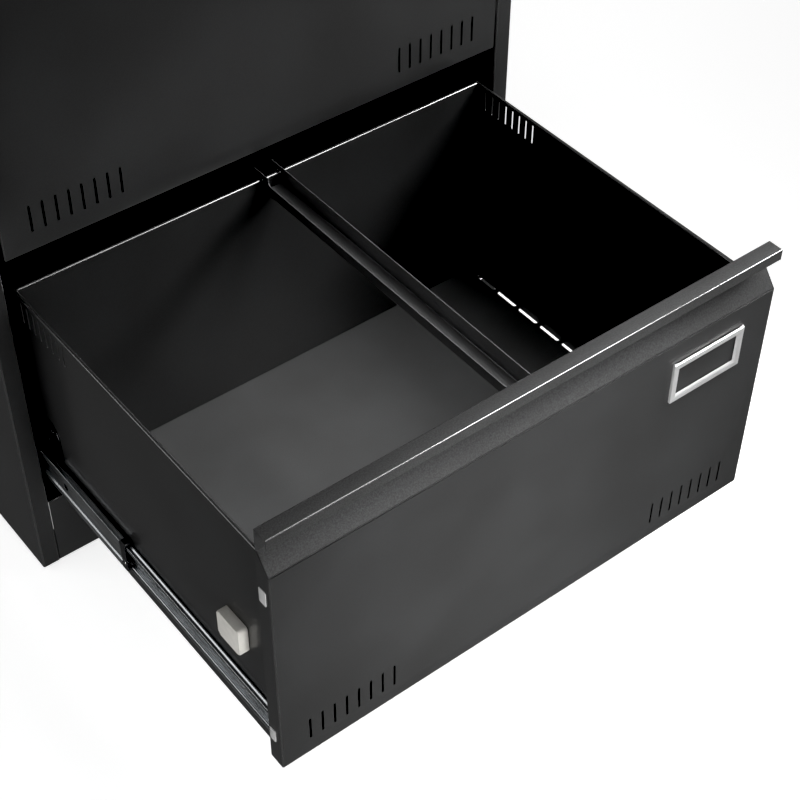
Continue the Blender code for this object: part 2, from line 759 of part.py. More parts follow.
def make_slides(level, case, drawer):
    """Make both telescopic slides of one drawer."""
    pulled = DRAWER_PULLED[level]
    z = DRAWER_LEVELS[level] + SLIDE_Z
    for side_name in SIDES:
        name = "%s_slide_%s" % (level, side_name)
        make_slide_member(name + "_cabinet", SLIDE_CABINET, SLIDE_CABINET_Y, z, side_name, case)
        travelling = make_empty(name + "_travel", (0.0, -pulled / 2, 0.0), case)
        make_slide_member(name + "_middle", SLIDE_MIDDLE, SLIDE_MIDDLE_Y, z, side_name, travelling)
        make_slide_member(name + "_drawer", SLIDE_DRAWER, SLIDE_DRAWER_Y, SLIDE_Z, side_name, drawer)


def make_drawer(level, case):
    """Build one drawer with everything that rides on it."""
    place_y = -FRONT_PROUD - DRAWER_PULLED[level]
    drawer = make_empty(level + "_drawer", (0.0, place_y, DRAWER_LEVELS[level]), case)
    make_front_skin(level, drawer)
    make_pull(level, drawer)
    make_liner(level, drawer)
    make_back_wall(level, drawer)
    make_floor(level, drawer)
    make_hanging_rail(level, drawer)
    make_card_holder(level, drawer)
    make_striker(level, drawer)
    for side_name in SIDES:
        make_wall(level, side_name, drawer)
        make_guide(level, side_name, drawer)
    make_slides(level, case, drawer)


clear_scene()
cabinet_case = make_case()
for drawer_level in DRAWER_LEVELS:
    make_drawer(drawer_level, cabinet_case)
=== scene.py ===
"""Looks for the two-drawer lateral filing cabinet: powder-coated sheet, zinc slides, nickel fittings."""

import math

import bmesh
import bpy
from mathutils import Matrix, Vector


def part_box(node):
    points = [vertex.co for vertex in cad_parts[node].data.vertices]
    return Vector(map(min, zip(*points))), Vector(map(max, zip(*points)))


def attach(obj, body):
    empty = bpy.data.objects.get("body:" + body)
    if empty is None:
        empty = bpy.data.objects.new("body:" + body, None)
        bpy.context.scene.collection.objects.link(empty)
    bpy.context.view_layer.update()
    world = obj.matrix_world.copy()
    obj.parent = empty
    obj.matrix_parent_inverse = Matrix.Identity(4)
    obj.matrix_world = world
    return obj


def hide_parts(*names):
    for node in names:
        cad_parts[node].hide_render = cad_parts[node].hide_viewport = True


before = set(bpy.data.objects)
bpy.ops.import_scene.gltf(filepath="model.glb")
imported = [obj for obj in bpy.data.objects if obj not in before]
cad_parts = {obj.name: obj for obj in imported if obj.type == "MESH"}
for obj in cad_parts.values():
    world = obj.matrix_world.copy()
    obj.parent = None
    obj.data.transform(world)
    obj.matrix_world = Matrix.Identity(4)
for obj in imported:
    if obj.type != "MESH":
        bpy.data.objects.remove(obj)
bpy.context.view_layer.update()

# Camera, from the photograph's viewing angle
CAMERA_PLACE = (-0.8950, -1.4261, 1.7123)
CAMERA_RIGHT = (0.789209, -0.614111, 0.004109)
CAMERA_DOWN = (-0.428198, -0.555059, -0.713131)
CAMERA_AHEAD = (0.440222, 0.561050, -0.701019)
CAMERA_LENS = 76.69

# Studio: each light's name, place, target, size, watts and beam spread
LIGHTS = (
    ("key", (0.72, -1.47, 1.53), (0.0, -0.30, 0.25), (1.10, 0.16), 6.0, 180.0),
    ("front_left", (-0.35, -1.50, 0.42), (-0.03, -0.53, 0.28), (0.4, 0.4), 2.4, 50.0),
    ("overhead", (-0.15, -0.95, 1.70), (-0.10, -0.45, 0.30), (0.5, 0.3), 0.6, 90.0),
    ("side_right", (1.10, -0.80, 1.25), (-0.18, -0.30, 0.13), (0.4, 0.4), 4.0, 70.0),
    ("top_left", (0.25, -0.50, 1.50), (-0.10, -0.30, 0.13), (0.4, 0.4), 0.4, 60.0),
    ("top_right", (0.55, -0.62, 1.40), (-0.10, -0.35, 0.13), (0.4, 0.4), 1.55, 60.0),
    ("rim_left", (-1.94, 0.48, 1.35), (-0.35, -0.25, 0.40), (1.8, 0.5), 7.0, 180.0),
    ("back", (0.60, 2.60, 2.20), (0.0, 0.50, 0.50), (1.4, 1.4), 10.0, 160.0),
)
BLACK_POINT = 0.0100
WORLD_STRENGTH = 0.105
FLOOR_HALF = 40.0
FLOOR_Z = -0.0003
FLOOR_GLOW = 0.75

# Sheet thickness, play between sheets, and the outer radius of a fold
SHEET = 0.001
GAP = 0.0003
FOLD = 0.0016
TINY = 1e-6

# A face counts as part of a fold if it is at least this long and narrower than the step
FOLD_FLAG = "fold"
FOLD_LENGTH = 0.08
FOLD_STEP = 0.0012

SIDES = {"left": -1, "right": 1}
LEVELS = ("lower", "upper")

# Where each group starts: the case's front plane, and a drawer's front-bottom middle
CASE_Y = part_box("side_panel_left")[0].y
DRAWER_AT = {
    level: Vector((0.0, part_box(level + "_front_skin")[0].y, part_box(level + "_front_skin")[0].z))
    for level in LEVELS
}


# -------------------------------- materials

# The powder coat's patterns, in features per metre
CLOUD_SCALE = 7.0
PEEL_SCALE = 380.0
SPECK_SCALE = 640.0
GRAIN_SCALE = 1300.0


def set_inputs(node, values):
    """Set a node's unlinked inputs."""
    for name, value in values.items():
        node.inputs[name].default_value = value


def new_material(name):
    """Start a node material that reads the piece's own coordinates, in metres."""
    material = bpy.data.materials.new(name)
    material.use_nodes = True
    tree = material.node_tree
    coords = tree.nodes.new("ShaderNodeTexCoord").outputs["Object"]
    return material, tree, tree.nodes["Principled BSDF"], coords


def noise(tree, coords, scale, detail=3.0, rough=0.5, stretch=None):
    """Add a noise of the given features per metre."""
    node = tree.nodes.new("ShaderNodeTexNoise")
    set_inputs(node, {"Scale": scale, "Detail": detail, "Roughness": rough})
    if stretch:
        mapping = tree.nodes.new("ShaderNodeMapping")
        set_inputs(mapping, {"Scale": stretch})
        tree.links.new(coords, mapping.inputs["Vector"])
        coords = mapping.outputs["Vector"]
    tree.links.new(coords, node.inputs["Vector"])
    return node.outputs["Fac"]


def ramp(tree, factor, low, high, stops=(0.35, 0.65)):
    """Blend two colours by a factor."""
    node = tree.nodes.new("ShaderNodeValToRGB")
    node.color_ramp.elements[0].position = stops[0]
    node.color_ramp.elements[1].position = stops[1]
    node.color_ramp.elements[0].color = low
    node.color_ramp.elements[1].color = high
    tree.links.new(factor, node.inputs["Fac"])
    return node.outputs["Color"]


def spread(tree, factor, low, high):
    """Stretch a 0 to 1 factor over a span."""
    node = tree.nodes.new("ShaderNodeMapRange")
    set_inputs(node, {"To Min": low, "To Max": high})
    tree.links.new(factor, node.inputs["Value"])
    return node.outputs["Result"]


def bump(tree, height, strength, distance, before=None):
    """Turn a height into a normal, on top of an earlier one if given."""
    node = tree.nodes.new("ShaderNodeBump")
    set_inputs(node, {"Strength": strength, "Distance": distance})
    tree.links.new(height, node.inputs["Height"])
    if before is not None:
        tree.links.new(before, node.inputs["Normal"])
    return node.outputs["Normal"]


def grey(value, blue=0.0):
    """Return a grey, a little cooler if blue is above zero."""
    return (value * (1 - blue), value, value * (1 + blue), 1.0)


def on_folds(tree, flat, fold):
    """Return a value that changes from the flat faces to the burnished folds."""
    node = tree.nodes.new("ShaderNodeAttribute")
    node.attribute_name = FOLD_FLAG
    return spread(tree, node.outputs["Fac"], flat, fold)


def powder_coat(name, tone, rough, specular, grain_depth, skin, fleck):
    """Black powder coat: flecked grain and orange peel, burnished to a shine along the folds."""
    material, tree, shader, coords = new_material(name)
    cloud = noise(tree, coords, CLOUD_SCALE, detail=4.0)
    grain = noise(tree, coords, GRAIN_SCALE, detail=2.0, rough=0.6)
    peel = noise(tree, coords, PEEL_SCALE, detail=1.0)
    speck = noise(tree, coords, SPECK_SCALE, detail=2.0, rough=0.7)
    base = ramp(tree, cloud, grey(tone * 0.90), grey(tone * 1.12, 0.01))
    lit = ramp(tree, speck, grey(1.0 - fleck), grey(1.0 + fleck), (0.34, 0.66))
    mix = tree.nodes.new("ShaderNodeMix")
    mix.data_type = "RGBA"
    mix.blend_type = "MULTIPLY"
    set_inputs(mix, {"Factor": 1.0})
    tree.links.new(base, mix.inputs["A"])
    tree.links.new(lit, mix.inputs["B"])
    tree.links.new(mix.outputs["Result"], shader.inputs["Base Color"])
    tree.links.new(spread(tree, cloud, rough - 0.05, rough + 0.05), shader.inputs["Roughness"])
    set_inputs(shader, {"Specular IOR Level": specular})
    tree.links.new(on_folds(tree, skin, 1.0), shader.inputs["Coat Weight"])
    tree.links.new(on_folds(tree, 0.15, 0.10), shader.inputs["Coat Roughness"])
    tree.links.new(on_folds(tree, 1.5, 2.4), shader.inputs["Coat IOR"])
    fine = bump(tree, grain, 1.0, grain_depth)
    tree.links.new(bump(tree, peel, 0.5, grain_depth, fine), shader.inputs["Normal"])
    return material


def zinc_plate(name, tone, rough):
    """Drawn, zinc-plated strip with fine lines along its length."""
    material, tree, shader, coords = new_material(name)
    lines = noise(tree, coords, 700.0, detail=1.0, stretch=(1.0, 0.0004, 1.0))
    cloud = noise(tree, coords, 30.0, detail=3.0)
    colour = ramp(tree, cloud, grey(tone * 0.86, 0.02), grey(tone * 1.1, 0.03))
    tree.links.new(colour, shader.inputs["Base Color"])
    tree.links.new(spread(tree, lines, rough - 0.04, rough + 0.06), shader.inputs["Roughness"])
    set_inputs(shader, {"Metallic": 1.0})
    tree.links.new(bump(tree, lines, 0.15, 0.00001), shader.inputs["Normal"])
    return material


def nickel_plate(name, tone, rough, metal):
    """Satin nickel with a faint blasted grain."""
    material, tree, shader, coords = new_material(name)
    grain = noise(tree, coords, 2400.0, detail=2.0)
    cloud = noise(tree, coords, 60.0, detail=2.0)
    tree.links.new(ramp(tree, cloud, grey(tone * 0.94), grey(tone * 1.05)), shader.inputs["Base Color"])
    tree.links.new(spread(tree, grain, rough - 0.05, rough + 0.08), shader.inputs["Roughness"])
    set_inputs(shader, {"Metallic": metal})
    tree.links.new(bump(tree, grain, 0.5, 0.00004), shader.inputs["Normal"])
    return material


def nylon(name, colour, rough):
    """Moulded nylon with a soft, slightly mottled skin."""
    material, tree, shader, coords = new_material(name)
    mottle = noise(tree, coords, 110.0, detail=2.0)
    grain = noise(tree, coords, 1500.0, detail=1.0)
    low = tuple(channel * 0.95 for channel in colour) + (1.0,)
    high = tuple(min(1.0, channel * 1.03) for channel in colour) + (1.0,)
    tree.links.new(ramp(tree, mottle, low, high), shader.inputs["Base Color"])
    tree.links.new(spread(tree, mottle, rough - 0.05, rough + 0.06), shader.inputs["Roughness"])
    tree.links.new(bump(tree, grain, 0.3, 0.00005), shader.inputs["Normal"])
    return material


COAT = powder_coat("black_powder_coat", 0.022, 0.42, 0.30, 0.00003, skin=0.4, fleck=0.10)
PULL_COAT = powder_coat("coarse_black_powder_coat", 0.027, 0.46, 0.34, 0.00012, skin=0.5, fleck=0.5)
# Painted light: the same black coat with a raised tone for the drawer floor, standing in for the overhead
# light that the floor catches
PAINTED_LIT_FLOOR_COAT = powder_coat("black_powder_coat_painted_lit_floor", 0.060, 0.40, 0.34, 0.00003, skin=0.4, fleck=0.08)
# Painted light: a still lighter copy of the black coat for the hanging rail, standing in for the light on
# its channel floor
PAINTED_LIT_RAIL_COAT = powder_coat("black_powder_coat_painted_lit_rail", 0.082, 0.40, 0.34, 0.00003, skin=0.4, fleck=0.08)
ZINC = zinc_plate("zinc_plate", tone=0.55, rough=0.30)
SLIDE_ZINC = zinc_plate("bright_zinc_plate", tone=0.50, rough=0.27)
BLACK_ZINC = zinc_plate("dark_zinc_plate", tone=0.05, rough=0.30)
NICKEL = nickel_plate("satin_nickel", tone=0.62, rough=0.42, metal=0.72)
STEEL_BALL = nickel_plate("ball_steel", tone=0.72, rough=0.14, metal=1.0)
WHITE_NYLON = nylon("off_white_nylon", (0.60, 0.585, 0.545), 0.5)
GREY_NYLON = nylon("light_grey_nylon", (0.42, 0.42, 0.42), 0.5)
BLACK_NYLON = nylon("black_nylon", (0.014, 0.014, 0.015), 0.45)


# -------------------------------- mesh tools


def rounded(points, radii, steps=5):
    """Return a line of points with an arc of the given radius at each inner corner."""
    line = [points[0]]
    for index in range(1, len(points) - 1):
        corner = Vector(points[index])
        before = Vector(points[index - 1]) - corner
        after = Vector(points[index + 1]) - corner
        turn = before.angle(after)
        half = turn / 2
        reach = min(radii[index] / math.tan(half), 0.49 * before.length, 0.49 * after.length)
        radius = reach * math.tan(half)
        if radius < TINY or turn > math.pi - 0.01:
            line.append(tuple(corner))
            continue
        before.normalize()
        after.normalize()
        centre = corner + (before + after).normalized() * (radius / math.sin(half))
        start = corner + before * reach - centre
        end = corner + after * reach - centre
        sweep = start.angle(end)
        for step in range(steps + 1):
            share = step / steps
            arm = start * math.sin((1 - share) * sweep) + end * math.sin(share * sweep)
            line.append(tuple(centre + arm / math.sin(sweep)))
    line.append(points[-1])
    return line


def folded(path, fold=FOLD, thickness=SHEET, folds=None):
    """Return the outline of a bent sheet, its thickness to the left of the path."""
    offset, outer_radii, inner_radii = [], [], []
    for index, point in enumerate(path):
        normals = []
        for start, end in ((index - 1, index), (index, index + 1)):
            if start < 0 or end >= len(path):
                continue
            run = Vector(path[end]) - Vector(path[start])
            normals.append(Vector((-run.y, run.x)).normalized())
        first, last = normals[0], normals[-1]
        shift = (first + last) * (thickness / (1.0 + first.dot(last)))
        offset.append((point[0] + shift.x, point[1] + shift.y))
        size = folds[index] if folds else fold
        turns_left = first.x * last.y - first.y * last.x > 0
        tight = max(size - thickness, 0.0003)
        outer_radii.append(size if turns_left else tight)
        inner_radii.append(tight if turns_left else size)
    return rounded(path, outer_radii) + rounded(offset, inner_radii)[::-1]


def point_at(axis, along, pair):
    """Return a point from its place along an axis and its pair of other coordinates."""
    if axis == "X":
        return (along, pair[0], pair[1])
    if axis == "Y":
        return (pair[0], along, pair[1])
    return (pair[0], pair[1], along)


def add_faces(bm, near, far):
    """Close the solid between two rings of vertices."""
    bm.faces.new(near)
    bm.faces.new(far[::-1])
    for index in range(len(near)):
        after = (index + 1) % len(near)
        bm.faces.new((near[index], far[index], far[after], near[after]))


def add_prism(bm, outline, axis, span):
    """Add a closed outline, extruded over a span of one axis, to a bmesh."""
    clean = []
    for pair in outline:
        if not clean or (Vector(pair) - Vector(clean[-1])).length > TINY:
            clean.append(pair)
    near, far = [[bm.verts.new(point_at(axis, along, pair)) for pair in clean] for along in span]
    add_faces(bm, near, far)


def add_turned(bm, profile, centre, axis, steps):
    """Add a closed profile of (radius, height) pairs, turned around an axis, to a bmesh."""
    rings = []
    for radius, height in profile:
        ring = []
        for step in range(steps if radius > 0.0 else 1):
            angle = 2 * math.pi * step / steps
            pair = (radius * math.cos(angle), radius * math.sin(angle))
            ring.append(bm.verts.new(Vector(centre) + Vector(point_at(axis, height, pair))))
        rings.append(ring)
    pairs = list(zip(rings, rings[1:]))
    if profile[0][0] > 0.0:
        pairs.append((rings[-1], rings[0]))
    for low, high in pairs:
        for step in range(steps):
            after = (step + 1) % steps
            ring = [low[step % len(low)], low[after % len(low)]]
            ring += [high[after % len(high)], high[step % len(high)]]
            bm.faces.new(list(dict.fromkeys(ring)))


def rectangle(across, up):
    """Return the four corners of a rectangle from its two spans."""
    return [(across[0], up[0]), (across[1], up[0]), (across[1], up[1]), (across[0], up[1])]


def rounded_rectangle(across, up, radius, steps):
    """Return a rectangle with an arc at each corner."""
    outline = rectangle(across, up)
    return rounded(outline + outline[:2], [0.0] + [radius] * 4 + [0.0], steps)[1:-1]


def circle(centre, radius, steps=28):
    """Return the points of a circle."""
    points = []
    for step in range(steps):
        angle = step * (2 * math.pi / steps)
        points.append((centre[0] + radius * math.cos(angle), centre[1] + radius * math.sin(angle)))
    return points


def stadium(centre, half_width, span, steps=6):
    """Return an upright slot with round ends."""
    low, high = span[0] + half_width, span[1] - half_width
    points = []
    for base, start in ((high, 0.0), (low, math.pi)):
        for step in range(steps + 1):
            angle = start + math.pi * step / steps
            points.append((centre + half_width * math.cos(angle), base + half_width * math.sin(angle)))
    return points


def link(obj):
    """Put an object in the scene."""
    bpy.context.scene.collection.objects.link(obj)


def to_object(name, bm, material, at=(0.0, 0.0, 0.0)):
    """Turn a bmesh into a named object at a place, with one material."""
    bmesh.ops.recalc_face_normals(bm, faces=bm.faces)
    bmesh.ops.translate(bm, verts=bm.verts, vec=at)
    mesh = bpy.data.meshes.new(name)
    bm.to_mesh(mesh)
    bm.free()
    obj = bpy.data.objects.new(name, mesh)
    link(obj)
    if material is not None:
        mesh.materials.append(material)
    return obj


def prism(name, outline, axis, span, material, at=(0.0, 0.0, 0.0)):
    """Make an object from one extruded outline."""
    bm = bmesh.new()
    add_prism(bm, outline, axis, span)
    return to_object(name, bm, material, at)


def turned(name, profile, centre, axis, steps, material, at=(0.0, 0.0, 0.0)):
    """Make an object from one turned profile."""
    bm = bmesh.new()
    add_turned(bm, profile, centre, axis, steps)
    return to_object(name, bm, material, at)


def mark_folds(obj):
    """Flag the long narrow faces that turn a fold, where handling burnishes the coat."""
    mesh = obj.data
    flags = mesh.attributes.new(FOLD_FLAG, "FLOAT", "FACE")
    for face in mesh.polygons:
        corners = [mesh.vertices[index].co for index in face.vertices]
        length = max((a - b).length for a, b in zip(corners, corners[1:] + corners[:1]))
        askew = max(abs(part) for part in face.normal) < 0.999
        if askew and length > FOLD_LENGTH and face.area < length * FOLD_STEP:
            flags.data[face.index].value = 1.0


def settle(obj):
    """Apply an object's modifiers to its mesh."""
    bpy.context.view_layer.update()
    graph = bpy.context.evaluated_depsgraph_get()
    mesh = bpy.data.meshes.new_from_object(obj.evaluated_get(graph))
    old = obj.data
    obj.modifiers.clear()
    obj.data = mesh
    mesh.name = obj.name
    bpy.data.meshes.remove(old)


def combine(obj, tool_bm, operation):
    """Join or cut an object with the solids in a bmesh."""
    tool = to_object(obj.name + "_tool", tool_bm, None)
    modifier = obj.modifiers.new("Combine", "BOOLEAN")
    modifier.operation = operation
    modifier.solver = "EXACT"
    modifier.object = tool
    settle(obj)
    bpy.data.objects.remove(tool, do_unlink=True)


def cut(obj, prisms):
    """Cut prisms, each an outline with its axis and span, out of an object."""
    bm = bmesh.new()
    for outline, axis, span in prisms:
        add_prism(bm, outline, axis, span)
    combine(obj, bm, "DIFFERENCE")


def smooth(obj, angle=32.0):
    """Shade smooth, with sharp edges kept."""
    obj.data.shade_smooth()
    obj.data.set_sharp_from_angle(angle=math.radians(angle))


def soften(obj, width=0.00025, segments=2):
    """Round an object's sharp edges a little and shade the rest smooth."""
    modifier = obj.modifiers.new("Edges", "BEVEL")
    modifier.width = width
    modifier.segments = segments
    modifier.limit_method = "ANGLE"
    modifier.angle_limit = math.radians(35.0)
    modifier.use_clamp_overlap = True
    settle(obj)
    smooth(obj)


def shift(outline, by):
    """Move an outline by a pair."""
    return [(pair[0] + by[0], pair[1] + by[1]) for pair in outline]


def mirrored(outline, side):
    """Turn an outline's first coordinate to one side."""
    return [(pair[0] * side, pair[1]) for pair in outline]


def at_both_ends(outline, inner, outer):
    """Return prisms of an outline over the same span of X on both sides."""
    return [(outline, "X", (inner, outer)), (outline, "X", (-outer, -inner))]


def hand_over(obj, node, body):
    """Let a piece stand for a CAD node and ride on its body."""
    mark_folds(obj)
    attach(obj, body)
    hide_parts(node)


def trim(obj, body):
    """Let a small piece ride on a body, with its folds flagged."""
    mark_folds(obj)
    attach(obj, body)


# -------------------------------- case

CASE_WIDTH = 0.760
CASE_DEPTH = 0.560
CASE_HEIGHT = 0.930
CASE_BOTTOM = 0.008
STILE_WIDTH = 0.024
STILE_RETURN = 0.016
REAR_FLANGE = 0.014
PANEL_FLANGE = 0.020
RAIL_RETURN = 0.025
SHELF_TOP = 0.118
TOP_RAIL_Z = 0.893
KICK_GAP = 0.00005
LOCK_X = 0.322
LOCK_Z = 0.911
LOCK_HOLE = 0.0098
FOOT_X = 0.330
FOOT_Y = {"front": 0.025, "rear": 0.535}
FOOT_HOLE = 0.0045
FOOT_SCALLOPS = 16
SCALLOP_DEPTH = 0.018
THREAD_TURNS = 22
THREAD_PITCH = 0.00125
UPRIGHT_X = 0.355
UPRIGHT_Y = {"front": (0.056, 0.096), "rear": (0.466, 0.506)}
UPRIGHT_SLOT = 0.012
UPRIGHT_PITCH = 0.032
FIELD_INSET = 0.045
FIELD_HEIGHT = 0.340
FIELD_Z = (0.110, 0.500)
CASE_AT = (0.0, CASE_Y, 0.0)


def case_sheet(name, outline, axis, span, cuts=()):
    """Make one sheet of the case and let it stand for its CAD node."""
    obj = prism(name + "_sheet", outline, axis, span, COAT)
    if cuts:
        cut(obj, cuts)
    obj.data.transform(Matrix.Translation(CASE_AT))
    smooth(obj)
    hand_over(obj, name, "case")


def make_side_panels():
    """Fold each side with its stile and its rear flange."""
    outer = CASE_WIDTH / 2
    path = [(outer - STILE_WIDTH, STILE_RETURN), (outer - STILE_WIDTH, 0.0), (outer, 0.0)]
    path += [(outer, CASE_DEPTH), (outer - REAR_FLANGE, CASE_DEPTH)]
    for side_name, side in SIDES.items():
        outline = mirrored(folded(path, fold=0.0022), side)
        case_sheet("side_panel_" + side_name, outline, "Z", (CASE_BOTTOM, CASE_HEIGHT - SHEET - GAP))


def make_top_panel():
    """Lay the top, with a rolled edge along its sides and flanges below."""
    outer = CASE_WIDTH / 2
    inner = outer - SHEET - GAP
    under = CASE_HEIGHT - SHEET
    low = under - PANEL_FLANGE
    edge = [(outer, under), (outer - 0.0002, under + 0.0007), (outer - 0.0008, CASE_HEIGHT)]
    outline = [(-inner, under), (-inner, low), (-inner + SHEET, low), (-inner + SHEET, under)]
    outline += [(inner - SHEET, under), (inner - SHEET, low), (inner, low), (inner, under)]
    outline += edge + mirrored(edge[::-1], -1)
    below = rectangle((-outer, outer), (low - SHEET, under))
    front = (below, "Y", (-SHEET, STILE_RETURN + 2 * GAP))
    rear = (below, "Y", (CASE_DEPTH - 3 * SHEET, CASE_DEPTH + SHEET))
    case_sheet("top_panel", outline, "Y", (0.0, CASE_DEPTH), [front, rear])


def tapered(bm, across, up, y_base, y_top, slope):
    """Add a block whose far face is smaller all round than its near face."""
    rows = []
    for y, inset in ((y_base, 0.0), (y_top, slope)):
        wide, high = (across[0] + inset, across[1] - inset), (up[0] + inset, up[1] - inset)
        ring = rounded_rectangle(wide, high, 0.02, 6)
        rows.append([bm.verts.new((x, y, z)) for x, z in ring])
    add_faces(bm, *rows)


def make_back_panel():
    """Press two shallow stiffening fields into the back, one behind each drawer."""
    half = CASE_WIDTH / 2 - SHEET - GAP
    rear = CASE_DEPTH - SHEET - GAP
    sheet = rectangle((-half, half), (CASE_BOTTOM, CASE_HEIGHT - SHEET - GAP))
    obj = prism("back_panel_sheet", sheet, "Y", (rear - SHEET, rear), COAT)
    across = (-half + FIELD_INSET, half - FIELD_INSET)
    raised, sunk = bmesh.new(), bmesh.new()
    for z in FIELD_Z:
        up = (z, z + FIELD_HEIGHT)
        tapered(raised, across, up, rear - SHEET / 2, rear - 0.0040, 0.006)
        tapered(sunk, across, up, rear + SHEET, rear - 0.0030, 0.0085)
    combine(obj, raised, "UNION")
    combine(obj, sunk, "DIFFERENCE")
    obj.data.transform(Matrix.Translation(CASE_AT))
    smooth(obj)
    hand_over(obj, "back_panel", "case")


def foot_holes(end_name):
    """Return the two holes at one end of the base that the feet's stems pass through."""
    span = (CASE_BOTTOM - SHEET, CASE_BOTTOM + 2 * SHEET)
    return [(circle((x, FOOT_Y[end_name]), FOOT_HOLE), "Z", span) for x in (-FOOT_X, FOOT_X)]


def make_base():
    """Make the kick plate, the rear rail and the shelf that stiffen the case."""
    half = CASE_WIDTH / 2 - STILE_WIDTH - KICK_GAP
    path = [(RAIL_RETURN, SHELF_TOP), (0.0, SHELF_TOP), (0.0, CASE_BOTTOM), (2 * RAIL_RETURN, CASE_BOTTOM)]
    case_sheet("kick_plate", folded(path), "X", (-half, half), foot_holes("front"))

    half = CASE_WIDTH / 2 - SHEET - GAP
    rear = CASE_DEPTH - 2 * (SHEET + GAP)
    path = [(rear - 2 * RAIL_RETURN, CASE_BOTTOM), (rear, CASE_BOTTOM)]
    path.append((rear, CASE_BOTTOM + 2 * RAIL_RETURN))
    case_sheet("rear_base_rail", folded(path), "X", (-half, half), foot_holes("rear"))

    low = SHELF_TOP - PANEL_FLANGE
    path = [(half, low), (half, SHELF_TOP), (-half, SHELF_TOP), (-half, low)]
    case_sheet("bottom_shelf", folded(path), "Y", (RAIL_RETURN + GAP, rear))


def make_top_rail():
    """Make the rail over the upper drawer, pierced for the lock."""
    half = CASE_WIDTH / 2 - STILE_WIDTH - GAP
    top = CASE_HEIGHT - SHEET - GAP
    path = [(RAIL_RETURN, top), (0.0, top), (0.0, TOP_RAIL_Z), (RAIL_RETURN, TOP_RAIL_Z)]
    hole = (circle((LOCK_X, LOCK_Z), LOCK_HOLE), "Y", (-SHEET, 2 * SHEET))
    case_sheet("top_rail", folded(path), "X", (-half, half), [hole])


def make_uprights():
    """Make the slotted channels that the slides hook into."""
    outer = CASE_WIDTH / 2 - SHEET - GAP
    for side_name, side in SIDES.items():
        for end_name, (low, high) in UPRIGHT_Y.items():
            path = [(outer, high), (UPRIGHT_X, high), (UPRIGHT_X, low), (outer, low)]
            slots = []
            middle = (low + high) / 2
            z = SHELF_TOP + 0.025
            while z < TOP_RAIL_Z - 0.03:
                slot = stadium(middle, 0.0022, (z, z + UPRIGHT_SLOT), 4)
                slots.append((slot, "X", (side * 0.350, side * 0.360)))
                z += UPRIGHT_PITCH
            name = "upright_%s_%s" % (end_name, side_name)
            outline = mirrored(folded(path), side)
            case_sheet(name, outline, "Z", (SHELF_TOP + GAP, TOP_RAIL_Z), slots)


def make_feet():
    """Make each levelling foot: a scalloped pad, a hexagonal boss and a threaded stem."""
    for side_name, side in SIDES.items():
        for end_name, y in FOOT_Y.items():
            name = "foot_%s_%s" % (end_name, side_name)
            centre = Vector((side * FOOT_X, CASE_Y + y, 0.0))
            bm = bmesh.new()
            rim = [(0.0168, 0.0), (0.0170, 0.0006), (0.0170, 0.0026), (0.0162, 0.0034), (0.0090, 0.0048)]
            add_turned(bm, [(0.0, 0.0)] + rim + [(0.0, 0.0048)], centre, "Z", 48)
            for vert in bm.verts:
                arm = (vert.co - centre).xy
                if arm.length > 0.016:
                    turn = math.atan2(arm.y, arm.x)
                    scale = 1.0 - SCALLOP_DEPTH * (1 - math.cos(FOOT_SCALLOPS * turn)) / 2
                    vert.co.x = centre.x + arm.x * scale
                    vert.co.y = centre.y + arm.y * scale
            boss = [(0.0, 0.0046), (0.0082, 0.0046), (0.0082, 0.0075), (0.0, 0.0075)]
            add_turned(bm, boss, centre, "Z", 6)
            stem = [(0.0, 0.0070)]
            for index in range(THREAD_TURNS):
                z = 0.0075 + index * THREAD_PITCH
                stem += [(0.0039, z), (0.0033, z + 0.0006)]
            stem += [(0.0030, 0.0357), (0.0, 0.0360)]
            add_turned(bm, stem, centre, "Z", 20)
            obj = to_object(name + "_turned", bm, BLACK_NYLON)
            smooth(obj, 40.0)
            hand_over(obj, name, name)


def make_lock():
    """Make the lock's bevelled collar and barrel, its plug with a warded keyway, and the cam."""
    centre = Vector((LOCK_X, CASE_Y, LOCK_Z))
    profile = [(0.0066, -0.0019), (0.0072, -0.0020), (0.0104, -0.0020), (0.0116, -0.0014)]
    profile += [(0.0120, -0.0007), (0.0120, -0.0003), (0.0095, -0.0003)]
    profile += [(0.0095, 0.0220), (0.0066, 0.0220)]
    obj = turned("lock_housing_turned", profile, centre, "Y", 48, NICKEL)
    smooth(obj, 40.0)
    hand_over(obj, "lock_housing", "case")

    profile = [(0.0, -0.0023), (0.0056, -0.0023), (0.0062, -0.0018), (0.0062, 0.0270), (0.0, 0.0270)]
    obj = turned("lock_plug_turned", profile, (0.0, 0.0, 0.0), "Y", 40, NICKEL)
    wards = [(-0.0009, -0.0042), (0.0009, -0.0042), (0.0009, -0.0012), (0.0002, -0.0006)]
    wards += [(0.0009, 0.0), (0.0009, 0.0042), (-0.0009, 0.0042)]
    wards += [(-0.0009, 0.0022), (-0.0003, 0.0016), (-0.0009, 0.0010)]
    cut(obj, [(wards, "Y", (-0.003, 0.010))])
    obj.data.transform(Matrix.Translation(centre))
    smooth(obj)
    hand_over(obj, "lock_plug", "lock_plug")

    radius = 0.007
    cam = [(-0.0045, -0.028), (0.0045, -0.028), (radius, -0.0255), (radius, 0.0)]
    for step in range(1, 16):
        angle = math.pi * step / 16
        cam.append((radius * math.cos(angle), radius * math.sin(angle)))
    cam += [(-radius, 0.0), (-radius, -0.0255)]
    bm = bmesh.new()
    add_prism(bm, cam, "Y", (0.0273, 0.0298))
    nut = [(0.0, 0.0296), (0.0042, 0.0296), (0.0042, 0.0318), (0.0, 0.0318)]
    add_turned(bm, nut, (0.0, 0.0, 0.0), "Y", 6)
    obj = to_object("lock_cam_stamped", bm, ZINC)
    obj.data.transform(Matrix.Translation(centre))
    soften(obj, 0.0003)
    hand_over(obj, "lock_cam", "lock_plug")


